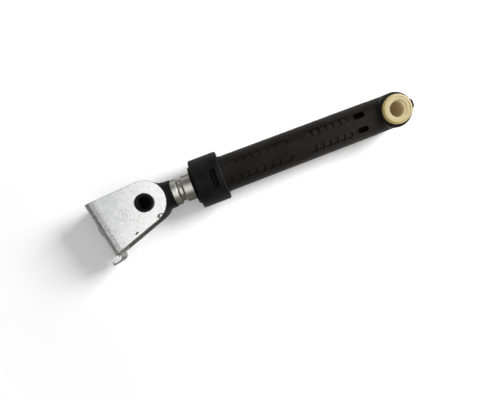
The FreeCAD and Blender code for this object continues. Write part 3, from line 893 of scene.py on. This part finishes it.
seam_sizes = {"Start": 13 * MM, "Start Radius": 11.80 * MM,
              "End": 119 * MM, "End Radius": 12.36 * MM, "Bead": 0.13 * MM}
tree, size = node_tree("mould_seam", seam_sizes)
first = grown(tree, "ShaderNodeCombineXYZ", {"X": size["Start"], "Y": size["Start Radius"]})
last = grown(tree, "ShaderNodeCombineXYZ", {"X": size["End"], "Y": size["End Radius"]})
line = grown(tree, "GeometryNodeCurvePrimitiveLine", {"Start": first, "End": last})
line = grown(tree, "GeometryNodeResampleCurve", {"Curve": line, "Count": SEAM_POINTS})
bead = swept(tree, line, BEAD_SIDES, size["Bead"])
opposite = grown(tree, "GeometryNodeTransform", {"Geometry": bead, "Rotation": (math.pi, 0, 0)})
pair = tree.nodes.new("GeometryNodeJoinGeometry")
for side in (bead, opposite):
    tree.links.new(side, pair.inputs[0])
finished(tree, pair.outputs[0], housing_black)
seam = plain_mesh("mould_seam", tree, seam_sizes, Matrix.Rotation(-ROLL, 4, "X"))
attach(seam, "housing")

# %% [markdown]
# ## Floor
#
# The part lies on plain white paper. To the camera and to reflections the paper glows a little by itself, so
# that it comes out white while the shadow stays on it, and further out it is white by itself. Bounced light
# sees only the paper.

# %% Floor
FLOOR_SIZE = 20
PAPER = (0.90, 0.90, 0.90, 1)
WHITE = (1, 1, 1, 1)
GLOW_NEAR = 0.15
GLOW_FAR = 0.9
GLOW_GROWS = (0.15, 0.6)

floor_z = cad_box[0][2]
bpy.ops.mesh.primitive_plane_add(size=FLOOR_SIZE, location=(0.1, 0, floor_z))
floor = bpy.context.object
floor.name = "floor"
paper = bpy.data.materials.new("floor_paper")
paper.use_nodes = True
tree = paper.node_tree
tree.nodes.remove(tree.nodes["Principled BSDF"])
rays = tree.nodes.new("ShaderNodeLightPath")
seen = Wire(rays.outputs["Is Camera Ray"])
for other in ("Is Glossy Ray", "Is Transmission Ray"):
    seen = either(seen, Wire(rays.outputs[other]))
far = rise(length(seen.node("TexCoord", {}, {}, "Object")), *GLOW_GROWS)
glow = seen.node("Emission", {}, {"Color": WHITE, "Strength": seen * (GLOW_NEAR + GLOW_FAR * far)})
sheet = seen.node("BsdfDiffuse", {}, {"Color": PAPER})
both = seen.node("AddShader", {}, {0: sheet, 1: glow})
tree.links.new(both.socket, tree.nodes["Material Output"].inputs["Surface"])
floor.data.materials.append(paper)
print("floor at", round(floor_z / MM, 2), "mm")

# %% [markdown]
# ## Light
#
# A large soft lamp stands beyond the eye, in line with the damper, so the foot's shadow falls away along the
# axis and the tube's is thin. The room is bright overhead and darker towards the walls. The flat sheet then
# shines, while the bend, the groove and the gap under the cheek go dark, as bare metal does in a real room.
# The bend and the channel under the cheek also carry painted shade in their finish.
# The camera itself sees plain white where the paper ends.

# %% Room
OVERHEAD = Vector((-0.10, 0.15, 1)).normalized()
WALL_LIGHT = 0.03
CEILING_LIGHT = 1.36
CEILING_EDGE = (0.7, 1.0)

world = bpy.data.worlds.new("room")
world.use_nodes = True
tree = world.node_tree
sky = tree.nodes["Background"]
towards = Wire(tree.nodes.new("ShaderNodeTexCoord").outputs["Generated"])
overhead = towards.node("VectorMath", {"operation": "DOT_PRODUCT"}, {0: towards, 1: OVERHEAD}, "Value")
lit = WALL_LIGHT + CEILING_LIGHT * rise(overhead, *CEILING_EDGE)
seen = Wire(tree.nodes.new("ShaderNodeLightPath").outputs["Is Camera Ray"])
tree.links.new((seen + lit * (1 - seen)).socket, sky.inputs["Strength"])
sky.inputs["Color"].default_value = WHITE
bpy.context.scene.world = world
bpy.context.scene.view_settings.view_transform = "Standard"
print("room lit from", [round(c, 2) for c in OVERHEAD])

# %% [markdown]
# ## Key lamp
#
# One lamp gives the shadow its direction. Its distance and its size set how soft the shadow's border is, so
# they are chosen together with its height over the paper.

# %% Key lamp
KEY_FROM = Vector((-0.979, -0.206, 0)).normalized()
KEY_HEIGHT = math.radians(37)
KEY_DISTANCE = 0.9
KEY_SIZE = 0.38
KEY_WATTS = 10.8
KEY_AIMS_AT = Vector((0.11, 0, 0))

key_data = bpy.data.lights.new("key", "AREA")
key_data.size = KEY_SIZE
key_data.energy = KEY_WATTS
key = bpy.data.objects.new("key", key_data)
bpy.context.scene.collection.objects.link(key)
rays_from = KEY_FROM * math.cos(KEY_HEIGHT) + Vector((0, 0, math.sin(KEY_HEIGHT)))
key.location = KEY_AIMS_AT + rays_from * KEY_DISTANCE
key.rotation_euler = rays_from.to_track_quat("Z", "Y").to_euler()
print("key lamp at", [round(c, 3) for c in key.location])
